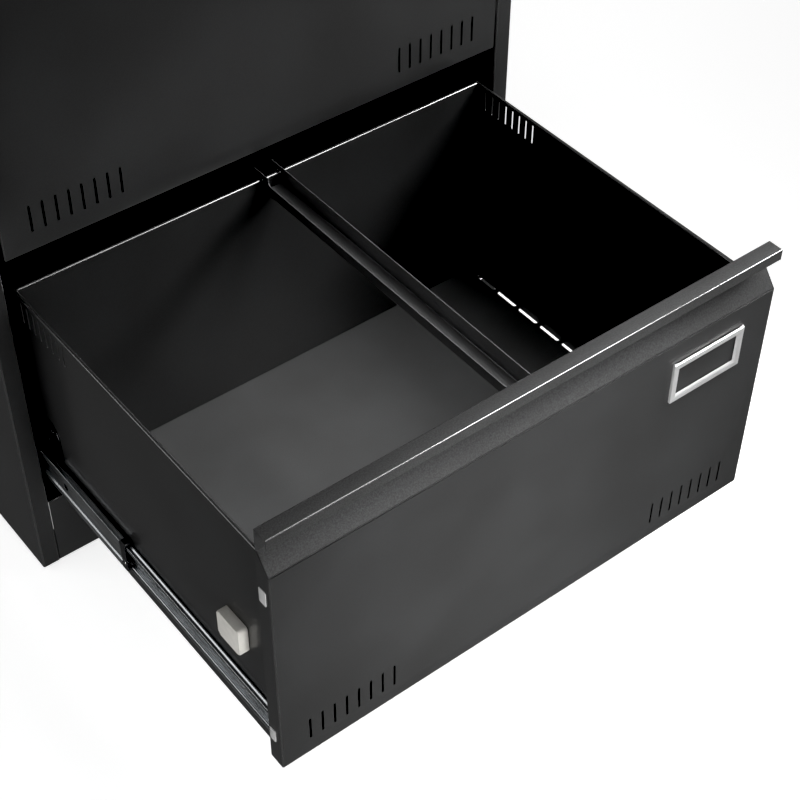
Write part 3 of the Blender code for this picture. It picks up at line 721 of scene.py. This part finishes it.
def make_bars():
    """Round the edges of the two locking bars, whose teeth keep their CAD outline."""
    for name in ("lock_bar", "interlock_bar"):
        bm = bmesh.new()
        bm.from_mesh(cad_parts[name].data)
        bmesh.ops.remove_doubles(bm, verts=bm.verts, dist=TINY)
        obj = to_object(name + "_stamped", bm, ZINC)
        soften(obj, 0.0003)
        hand_over(obj, name, name)


# -------------------------------- drawers

FRONT_WIDTH = 0.700
FRONT_DEPTH = 0.0224
CREASE_Z = 0.322
BAND_DEPTH = 0.0195
BAND_TOP_Z = 0.3465
PULL_TOP_Z = 0.3786
PULL_DEPTH = 0.0208
PULL_LIP = 0.014
PULL_TAIL = 0.016
WALL_OUTER = 0.3419
WALL_BOTTOM = 0.011
WALL_TOP = 0.3294
WALL_BACK = 0.520
HEM_WIDTH = 0.005
HEM_DROP = 0.010
WALL_HEM_DROP = 0.005
BACK_Y = 0.5145
BACK_HEM = 0.006
LINER_Y = 0.0214
LINER_HEM = 0.008
DRAWER_FLOOR_Z = 0.0135
HEM_HALF = WALL_OUTER - HEM_WIDTH - GAP
SLIDE_Z = 0.0655
VENT_COUNT = 8
VENT_HALF_WIDTH = 0.0015
FRONT_VENT_INSET = 0.0384
FRONT_VENT_PITCH = 0.0164
FRONT_VENT_Z = (0.0255, 0.0605)
WALL_VENT_Y = 0.500
WALL_VENT_PITCH = 0.0131
WALL_VENT_Z = (0.2925, 0.3225)
ACCESS_HOLE = 0.0050
ACCESS_HOLE_Y = (0.060, 0.270, 0.480)
CAP_X = (0.3496, 0.3508)
FLANGE_CAPS = {
    "top": ((0.0074, 0.0194), (0.273, 0.295)),
    "low": ((0.0100, 0.0205), (0.039, 0.059)),
}
NOTCH_COUNT = 10
NOTCH_Y = 0.4767
NOTCH_DEPTH = 0.0062
NOTCH_HALF = 0.0185
NOTCH_PITCH = 0.045
HOLDER_X = (0.194, 0.304)
HOLDER_Z = (0.2335, 0.2915)
HOLDER_BORDER = 0.0095
HOLDER_RAISE = 0.0034
GUIDE_Y = (0.062, 0.103)
GUIDE_Z = (0.139, 0.1785)
GUIDE_X = 0.3544
STRIKER_Y = (0.463, 0.513)
STRIKER_Z = (0.0945, 0.150)
STRIKER_SHEET = 0.0012


def drawer_piece(level, name, obj, body=None, edges=False):
    """Move a piece from a drawer's own frame to its place and let it stand for its CAD node."""
    obj.data.transform(Matrix.Translation(DRAWER_AT[level]))
    if edges:
        soften(obj)
    else:
        smooth(obj)
    hand_over(obj, "%s_%s" % (level, name), body or level + "_drawer")


def bevel_edges(bm, edges, radius, segments):
    """Round some edges of a bmesh."""
    bmesh.ops.bevel(
        bm, geom=edges, offset=radius, segments=segments, profile=0.5, affect="EDGES", clamp_overlap=True
    )


def pan(half, outline, radius, back):
    """Make a prism along X whose end edges, but for those at its back, are rounded."""
    bm = bmesh.new()
    add_prism(bm, outline, "X", (-half, half))
    edges = []
    for edge in bm.edges:
        first, second = edge.verts
        on_end = abs(abs(first.co.x) - half) < TINY and abs(first.co.x - second.co.x) < TINY
        at_back = first.co.y > back - TINY and second.co.y > back - TINY
        if on_end and not at_back:
            edges.append(edge)
    bevel_edges(bm, edges, radius, 5)
    return bm


def make_front_skin(level):
    """Draw the front as a pan with rounded edges, then pierce the vents in its lower corners."""
    half = FRONT_WIDTH / 2
    outline = [(0.0022, 0.0), (0.0007, 0.0007), (0.0, 0.0022), (0.0, CREASE_Z)]
    outline += [(BAND_DEPTH, BAND_TOP_Z), (FRONT_DEPTH, BAND_TOP_Z), (FRONT_DEPTH, 0.0)]
    obj = to_object(level + "_front_skin_pan", pan(half, outline, 0.0018, FRONT_DEPTH), COAT)
    inside = rectangle((SHEET, 2 * FRONT_DEPTH), (SHEET, PULL_TOP_Z))
    combine(obj, pan(half - SHEET, inside, 0.0008, FRONT_DEPTH * 1.5), "DIFFERENCE")
    slots = []
    for index in range(VENT_COUNT):
        offset = half - FRONT_VENT_INSET - index * FRONT_VENT_PITCH
        for x in (-offset, offset):
            slots.append((stadium(x, VENT_HALF_WIDTH, FRONT_VENT_Z), "Y", (-SHEET, 3 * SHEET)))
    groove = rectangle((-SHEET, 1.5 * SHEET), (CREASE_Z - 0.0008, CREASE_Z + SHEET))
    slots.append((groove, "X", (SHEET - half, half - SHEET)))
    cut(obj, slots)
    drawer_piece(level, "front_skin", obj)


def make_flange_caps(level):
    """Make the small caps in the side flanges that hold the skin to the liner."""
    for side_name, side in SIDES.items():
        for place, (along, up) in FLANGE_CAPS.items():
            name = "%s_flange_cap_%s_%s" % (level, place, side_name)
            ring = rounded_rectangle(along, up, 0.0018, 4)
            across = (side * CAP_X[0], side * CAP_X[1])
            obj = prism(name, ring, "X", across, GREY_NYLON, DRAWER_AT[level])
            soften(obj, 0.0003)
            trim(obj, level + "_drawer")


def make_pull(level):
    """Fold the finger pull and its sloping band."""
    half = FRONT_WIDTH / 2
    tail_y = 2 * SHEET + GAP
    path = [(tail_y, CREASE_Z - PULL_TAIL), (tail_y, CREASE_Z), (PULL_DEPTH, BAND_TOP_Z - GAP)]
    path += [(PULL_DEPTH, PULL_TOP_Z), (0.0, PULL_TOP_Z), (0.0, PULL_TOP_Z - PULL_LIP)]
    obj = prism(level + "_pull_folded", folded(path, fold=0.0014), "X", (-half, half), PULL_COAT)
    inner = half - SHEET - GAP
    below = rectangle((-SHEET, 2 * FRONT_DEPTH), (0.0, BAND_TOP_Z + GAP))
    cut(obj, at_both_ends(below, inner, half + SHEET))
    drawer_piece(level, "pull", obj)


def make_liner(level):
    """Fold the inner front with its hem."""
    half = FRONT_WIDTH / 2 - SHEET - GAP
    path = [(LINER_Y + LINER_HEM, WALL_TOP - HEM_DROP), (LINER_Y + LINER_HEM, WALL_TOP)]
    path += [(LINER_Y, WALL_TOP), (LINER_Y, 2 * SHEET)]
    obj = prism(level + "_liner_folded", folded(path, fold=0.0018), "X", (-half, half), COAT)
    block = rectangle((LINER_Y + SHEET, 2 * FRONT_DEPTH), (0.0, WALL_TOP + SHEET))
    cut(obj, at_both_ends(block, HEM_HALF, half + SHEET))
    drawer_piece(level, "liner", obj)


def make_walls(level):
    """Fold the side walls, and pierce their vents and the access holes for the slides."""
    path = [(WALL_OUTER, WALL_BOTTOM), (WALL_OUTER, WALL_TOP), (WALL_OUTER - HEM_WIDTH, WALL_TOP)]
    path.append((WALL_OUTER - HEM_WIDTH, WALL_TOP - WALL_HEM_DROP))
    for side_name, side in SIDES.items():
        name = "%s_wall_%s_folded" % (level, side_name)
        outline = mirrored(folded(path, fold=0.0017), side)
        obj = prism(name, outline, "Y", (FRONT_DEPTH + 2 * GAP, WALL_BACK), COAT)
        across = (side * (WALL_OUTER - 2 * SHEET), side * (WALL_OUTER + SHEET))
        cuts = []
        for index in range(VENT_COUNT):
            y = WALL_VENT_Y - index * WALL_VENT_PITCH
            cuts.append((stadium(y, VENT_HALF_WIDTH, WALL_VENT_Z), "X", across))
        for y in ACCESS_HOLE_Y:
            cuts.append((circle((y, SLIDE_Z), ACCESS_HOLE), "X", across))
        cut(obj, cuts)
        drawer_piece(level, "wall_" + side_name, obj)


def make_back_wall(level):
    """Fold the back wall with its hem, which stops short of the side walls' hems."""
    half = WALL_OUTER - SHEET - GAP
    path = [(BACK_Y + BACK_HEM, WALL_TOP - HEM_DROP), (BACK_Y + BACK_HEM, WALL_TOP)]
    path += [(BACK_Y, WALL_TOP), (BACK_Y, DRAWER_FLOOR_Z + 2 * SHEET)]
    obj = prism(level + "_back_wall_folded", folded(path, fold=0.0022), "X", (-half, half), COAT)
    up = (WALL_TOP - HEM_DROP - GAP, WALL_TOP + SHEET)
    block = rectangle((BACK_Y - SHEET, BACK_Y + 2 * BACK_HEM), up)
    cut(obj, at_both_ends(block, HEM_HALF, half + SHEET))
    drawer_piece(level, "back_wall", obj)


def make_floor(level):
    """Notch the floor along both walls, with relieved corners."""
    half = WALL_OUTER - SHEET - GAP
    sheet = rectangle((-half, half), (FRONT_DEPTH + 2 * GAP, BACK_Y + SHEET))
    up = (DRAWER_FLOOR_Z, DRAWER_FLOOR_Z + SHEET)
    # The floor takes the lighter copy of the black coat, which is painted light
    obj = prism(level + "_floor_sheet", sheet, "Z", up, PAINTED_LIT_FLOOR_COAT)
    inner, outer, relief = half - NOTCH_DEPTH, half + SHEET, 0.002
    cuts = []
    for index in range(NOTCH_COUNT):
        y = NOTCH_Y - index * NOTCH_PITCH
        near, far = y - NOTCH_HALF, y + NOTCH_HALF
        for side in SIDES.values():
            slot = [(outer, near), (outer, far), (inner + relief, far), (inner, far - relief)]
            slot += [(inner, near + relief), (inner + relief, near)]
            span = (DRAWER_FLOOR_Z - SHEET, DRAWER_FLOOR_Z + 2 * SHEET)
            cuts.append((mirrored(slot, side), "Z", span))
    cut(obj, cuts)
    drawer_piece(level, "floor", obj)


def make_hanging_rail(level):
    """Fold the channel that files hang from, with hooks over the back hem."""
    left, right = -0.0017, 0.0255
    low, top, left_top = 0.3121, 0.3376, 0.3277
    rear = 0.537
    path = [(left, top), (left, low), (right, low), (right, top)]
    along = (LINER_Y + SHEET + GAP, rear)
    # The rail takes the lightest copy of the black coat, which is painted light
    obj = prism(level + "_hanging_rail_folded", folded(path, fold=0.0020), "Y", along, PAINTED_LIT_RAIL_COAT)
    body_front = LINER_Y + LINER_HEM + 2 * GAP
    body_back = BACK_Y - 2 * GAP
    hook_y = BACK_Y + BACK_HEM + 2 * GAP
    deep = WALL_TOP - 0.040
    beyond = 0.540
    hook_low = WALL_TOP + GAP - 0.012
    hem = WALL_TOP + GAP
    below = [(0.0, deep), (beyond, deep), (beyond, hook_low), (hook_y, hook_low), (hook_y, hem)]
    below += [(body_back, hem), (body_back, low - SHEET), (body_front, low - SHEET)]
    below += [(body_front, hem), (0.0, hem)]
    tab = 0.012
    step = 0.003
    near, far = body_front + tab, body_back - tab
    trim_left = [(near, top + SHEET), (near, left_top + step), (near + step, left_top)]
    trim_left += [(far - step, left_top), (far, left_top + step), (far, top + SHEET)]
    nose = 0.005
    round_hook = [(rear - nose, top + SHEET)]
    for count in range(7):
        angle = math.pi / 2 * (1 - count / 6)
        round_hook.append((rear - nose + nose * math.cos(angle), top - nose + nose * math.sin(angle)))
    round_hook += [(rear + SHEET, top - nose), (rear + SHEET, top + SHEET)]
    whole = (left - SHEET, right + SHEET)
    on_left = (left - SHEET, left + 2 * SHEET)
    cut(obj, [(below, "X", whole), (trim_left, "X", on_left), (round_hook, "X", whole)])
    drawer_piece(level, "hanging_rail", obj, level + "_hanging_rail")


def make_card_holder(level):
    """Make the label holder: a raised, bevelled frame with turned-in corners over its card slot."""
    x_low, x_high = HOLDER_X
    z_low, z_high = HOLDER_Z
    border = HOLDER_BORDER
    back, face = -GAP, -GAP - HOLDER_RAISE
    bm = bmesh.new()
    rings = []
    for inset, y in (
        (0.0, back),
        (0.0, face + 0.0006),
        (0.0002, face + 0.0002),
        (0.0007, face),
        (0.0068, face),
        (0.0073, face + 0.0002),
        (border - 0.0002, face + 0.0024),
        (border, face + 0.0027),
        (border, back),
    ):
        across, up = (x_low + inset, x_high - inset), (z_low + inset, z_high - inset)
        ring = rounded_rectangle(across, up, 0.0009, 4)
        rings.append([bm.verts.new((x, y, z)) for x, z in ring])
    for low, high in zip(rings, rings[1:] + rings[:1]):
        for index in range(len(low)):
            after = (index + 1) % len(low)
            bm.faces.new((low[index], low[after], high[after], high[index]))
    obj = to_object(level + "_card_holder_frame", bm, NICKEL)
    slot = rectangle((x_low + border / 2, x_high - border / 2), (z_low + border / 2, z_high + SHEET))
    cut(obj, [(slot, "Y", (back - SHEET, back + SHEET))])
    drawer_piece(level, "card_holder", obj)

    ear = [(0.0004, face + 0.0012), (0.0004, back), (0.0014, back)]
    ear += [(0.0014, face + 0.0022), (0.0052, face + 0.0022), (0.0052, face + 0.0012)]
    for side_name, x, inward in (("left", x_low, 1), ("right", x_high, -1)):
        name = "%s_card_holder_ear_%s" % (level, side_name)
        outline = [(x + inward * across, y) for across, y in ear]
        up = (z_high + 0.0001, z_high + 0.0012)
        piece = prism(name, outline, "Z", up, NICKEL, DRAWER_AT[level])
        soften(piece, 0.0002)
        trim(piece, level + "_drawer")


def make_guides(level):
    """Mould each guide block with soft edges."""
    for side_name, side in SIDES.items():
        bm = bmesh.new()
        ring = rounded_rectangle(GUIDE_Y, GUIDE_Z, 0.0042, 5)
        add_prism(bm, ring, "X", (side * (WALL_OUTER + GAP), side * GUIDE_X))
        outer = [edge for edge in bm.edges if all(abs(vert.co.x) > GUIDE_X - GAP for vert in edge.verts)]
        bevel_edges(bm, outer, 0.0016, 4)
        obj = to_object("%s_guide_%s_moulded" % (level, side_name), bm, WHITE_NYLON)
        drawer_piece(level, "guide_" + side_name, obj)


def make_striker(level):
    """Make the interlock's striker: a plate with a round nose, a turned-up ledge and three screws."""
    wall = WALL_OUTER + GAP
    y_low = STRIKER_Y[0]
    z_low, z_high = STRIKER_Z
    ledge = 0.008
    path = [(wall, z_high), (wall, z_low), (wall + ledge, z_low), (wall + ledge, z_low + ledge)]
    outline = mirrored(folded(path, fold=0.0018, thickness=STRIKER_SHEET), -1)
    obj = prism(level + "_striker_folded", outline, "Y", STRIKER_Y, BLACK_ZINC)
    radius = 0.024
    nose = [(y_low - SHEET, z_high + SHEET), (y_low - SHEET, z_high - radius)]
    for step in range(11):
        angle = math.pi - (math.pi / 2) * step / 10
        nose.append((y_low + radius + radius * math.cos(angle), z_high - radius + radius * math.sin(angle)))
    nose.append((y_low + radius, z_high + SHEET))
    cut(obj, [(nose, "X", (-0.340, -0.360))])
    drawer_piece(level, "interlock_striker", obj, edges=True)
    head = [(0.0, 0.0), (0.0036, 0.0), (0.0034, -0.0008)]
    head += [(0.0024, -0.0017), (0.0010, -0.0021), (0.0, -0.0021)]
    for number, (y, z) in enumerate(((0.478, 0.135), (0.502, 0.139), (0.490, 0.112))):
        name = "%s_striker_screw_%d" % (level, number)
        centre = (-(wall + STRIKER_SHEET), y, z)
        piece = turned(name, head, centre, "X", 20, BLACK_ZINC, DRAWER_AT[level])
        smooth(piece, 50.0)
        trim(piece, level + "_drawer")


# -------------------------------- slides

SLIDE_SHEET = 0.0012
LIP_FOLD = 0.0020
RIB_FOLD = 0.0008

# The holes in each member's web: where along it, their radius, and the span of X to cut
MEMBER_HOLES = {
    "cabinet": ((), 0.0, (0.0, 0.0)),
    "middle": ((0.30, 0.62), 0.0045, (0.348, 0.356)),
    "drawer": ((0.10, 0.47, 0.92), 0.0032, (0.340, 0.348)),
}


def flange(web, edge, half, groove, dip, lip, web_fold):
    """Return a C-section's upper flange from its turned lip to the web, with its folds."""
    middle = (web + edge) / 2
    toward = 1 if edge > web else -1
    points = [(edge, half - lip), (edge - toward * 0.0008, half), (middle + toward * groove, half)]
    points += [(middle, half - dip), (middle - toward * groove, half), (web, half)]
    return points, [0.0, min(lip, LIP_FOLD), 0.0012, 0.0022, 0.0012, web_fold]


def member_path(kind, web, edge, half):
    """Return the outer path of one slide member, from its upper lip to its lower one, and its folds."""
    if kind == "drawer":
        top, folds = flange(web, edge, half, 0.0022, 0.0016, 0.0030, 0.0020)
        rib = [(web, 0.0098), (web + 0.0019, 0.0085)]
    elif kind == "middle":
        top, folds = flange(web, edge, half, 0.0020, 0.0006, 0.0006, 0.0042)
        rib = [(web, half - 0.0090), (web - 0.0021, half - 0.0105)]
    else:
        top, folds = flange(web, edge, half, 0.0020, 0.0, 0.0006, 0.0020)
        rib = []
    upper = top + rib
    upper_folds = folds + [RIB_FOLD] * len(rib)
    lower = [(u, -z) for u, z in upper[::-1]]
    return upper + lower, upper_folds + upper_folds[::-1]


def make_slide_member(node, body, kind, side):
    """Roll one member of a slide in its CAD node's place."""
    low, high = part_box(node)
    near, far = sorted((abs(low.x), abs(high.x)))
    web, edge = (near, far) if kind == "drawer" else (far, near)
    half = (high.z - low.z) / 2
    centre_z = (high.z + low.z) / 2
    path, folds = member_path(kind, web, edge, half)
    if edge < web:
        path, folds = path[::-1], folds[::-1]
    outline = shift(folded(path, thickness=SLIDE_SHEET, folds=folds), (0.0, centre_z))
    obj = prism(node + "_rolled", mirrored(outline, side), "Y", (low.y, high.y), SLIDE_ZINC)
    shares, radius, span = MEMBER_HOLES[kind]
    cuts = []
    for share in shares:
        y = low.y + share * (high.y - low.y)
        cuts.append((circle((y, centre_z), radius, 16), "X", (side * span[0], side * span[1])))
    if cuts:
        cut(obj, cuts)
    smooth(obj, 25.0)
    hand_over(obj, node, body)


def rivet(name, at, side, radius, body):
    """Set a domed steel rivet head on an upright face."""
    head = [(0.0, -0.0004), (radius, -0.0004), (radius, 0.0002)]
    head += [(radius * 0.8, 0.0008), (radius * 0.4, 0.0012), (0.0, 0.0013)]
    piece = turned(name, [(r, h * side) for r, h in head], at, "X", 20, STEEL_BALL)
    smooth(piece, 50.0)
    trim(piece, body)


def make_end_stop(name, side, body):
    """Mould the stop that caps a middle member's front end, with a spring clip let into it."""
    low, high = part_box(name + "_middle")
    front, z = low.y, (low.z + high.z) / 2
    outer, inner = 0.3531, 0.3441
    out_z, in_z = 0.0238, 0.0190
    bevel = 0.0015
    outline = [(inner, out_z), (inner, in_z), (0.3512, in_z), (0.3512, -in_z), (inner, -in_z)]
    outline += [(inner, -out_z), (outer - bevel, -out_z), (outer, -out_z + bevel)]
    outline += [(outer, out_z - bevel), (outer - bevel, out_z)]
    outline = mirrored(shift(outline, (0.0, z)), side)
    stop = prism(name + "_end_stop", outline, "Y", (front - 0.0110, front - 0.0003), BLACK_NYLON)
    soften(stop, 0.0008, 3)
    trim(stop, body)
    turns = 14
    arc = [math.radians(40 + 280 * step / turns) for step in range(turns + 1)]
    ring = []
    for radius, angles in ((0.0042, arc), (0.0030, arc[::-1])):
        for angle in angles:
            ring.append((front - 0.0056 + radius * math.cos(angle), z - 0.0100 + radius * math.sin(angle)))
    clip = prism(name + "_stop_clip", ring, "X", (side * 0.3524, side * 0.3534), STEEL_BALL)
    soften(clip, 0.0002)
    trim(clip, body)


def make_latch(name, side, body):
    """Stamp the small release lever that lies in the drawer member's channel near its front."""
    low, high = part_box(name + "_drawer")
    z = (low.z + high.z) / 2
    start = low.y + 0.040
    outline = [(0.0, -0.0030), (0.0060, -0.0058), (0.0300, -0.0040), (0.0420, -0.0012)]
    outline += [(0.0420, 0.0020), (0.0280, 0.0038), (0.0040, 0.0042)]
    outline = shift(outline, (start, z))
    span = (side * 0.3444, side * 0.3458)
    lever = prism(name + "_release_lever", outline, "X", span, STEEL_BALL)
    soften(lever, 0.0004, 3)
    trim(lever, body)
    at = (side * 0.3458, start + 0.010, z)
    rivet(name + "_lever_rivet", at, side, 0.0026, body)


def make_balls(name, side, body):
    """Hold two short rows of balls in the front of the middle member's grooves."""
    low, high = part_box(name + "_middle")
    z = (low.z + high.z) / 2
    bm = bmesh.new()
    for row in (-1, 1):
        for index in range(8):
            at = (side * 0.3466, low.y + 0.012 + index * 0.0085, z + row * 0.0190)
            matrix = Matrix.Translation(at)
            bmesh.ops.create_icosphere(bm, subdivisions=2, radius=0.0020, matrix=matrix)
    balls = to_object(name + "_balls", bm, STEEL_BALL)
    smooth(balls, 80.0)
    trim(balls, body)


def make_slides(level):
    """Make both telescopic slides of a drawer, with their stops, levers and balls."""
    for side_name, side in SIDES.items():
        name = "%s_slide_%s" % (level, side_name)
        make_slide_member(name + "_cabinet", "case", "cabinet", side)
        make_slide_member(name + "_middle", name + "_middle", "middle", side)
        make_slide_member(name + "_drawer", level + "_drawer", "drawer", side)
        make_end_stop(name, side, name + "_middle")
        make_latch(name, side, level + "_drawer")
        make_balls(name, side, name + "_middle")


make_side_panels()
make_top_panel()
make_back_panel()
make_base()
make_top_rail()
make_uprights()
make_feet()
make_lock()
make_bars()
DRAWER_STEPS = (make_front_skin, make_flange_caps, make_pull, make_liner, make_walls, make_back_wall)
DRAWER_STEPS += (make_floor, make_hanging_rail, make_card_holder, make_guides, make_striker, make_slides)
for level in LEVELS:
    for make in DRAWER_STEPS:
        make(level)


# -------------------------------- studio


def add_camera():
    """Place the camera as it stood for the photograph."""
    data = bpy.data.cameras.new("camera")
    data.sensor_width = 36.0
    data.lens = CAMERA_LENS
    data.clip_start = 0.05
    data.clip_end = 60.0
    camera = bpy.data.objects.new("camera", data)
    right, down, ahead = Vector(CAMERA_RIGHT), Vector(CAMERA_DOWN), Vector(CAMERA_AHEAD)
    turn = Matrix((right, -down, -ahead)).transposed().to_4x4()
    camera.matrix_world = Matrix.Translation(CAMERA_PLACE) @ turn
    link(camera)
    bpy.context.scene.camera = camera


def add_light(name, at, target, size, watts, spread_deg):
    """Add one softbox aimed at a point."""
    data = bpy.data.lights.new(name, "AREA")
    data.shape = "RECTANGLE"
    data.size, data.size_y = size
    data.energy = watts
    data.spread = math.radians(spread_deg)
    light = bpy.data.objects.new(name, data)
    light.location = at
    light.rotation_euler = (Vector(target) - Vector(at)).to_track_quat("-Z", "Y").to_euler()
    link(light)


def add_floor():
    """Lay a plain white light-table floor, which leaves only a faint shadow."""
    mesh = bpy.data.meshes.new("studio_floor")
    span = (-FLOOR_HALF, FLOOR_HALF)
    mesh.from_pydata([(x, y, FLOOR_Z) for x, y in rectangle(span, span)], [], [(0, 1, 2, 3)])
    floor = bpy.data.objects.new("studio_floor", mesh)
    material, _, shader, _ = new_material("studio_white")
    set_inputs(shader, {"Base Color": grey(0.90), "Roughness": 0.95, "Specular IOR Level": 0.05})
    set_inputs(shader, {"Emission Color": grey(1.0), "Emission Strength": FLOOR_GLOW})
    mesh.materials.append(material)
    link(floor)
    floor.visible_glossy = False


def add_studio():
    """Set the floor, a faint even surround, the view's black point and the softboxes."""
    add_floor()
    world = bpy.data.worlds.new("studio")
    world.use_nodes = True
    background = world.node_tree.nodes["Background"]
    set_inputs(background, {"Color": grey(1.0), "Strength": WORLD_STRENGTH})
    bpy.context.scene.world = world
    settings = bpy.context.scene.view_settings
    settings.view_transform = "Standard"
    settings.use_curve_mapping = True
    settings.curve_mapping.black_level = (BLACK_POINT, BLACK_POINT, BLACK_POINT)
    settings.curve_mapping.update()
    for light in LIGHTS:
        add_light(*light)


add_camera()
add_studio()
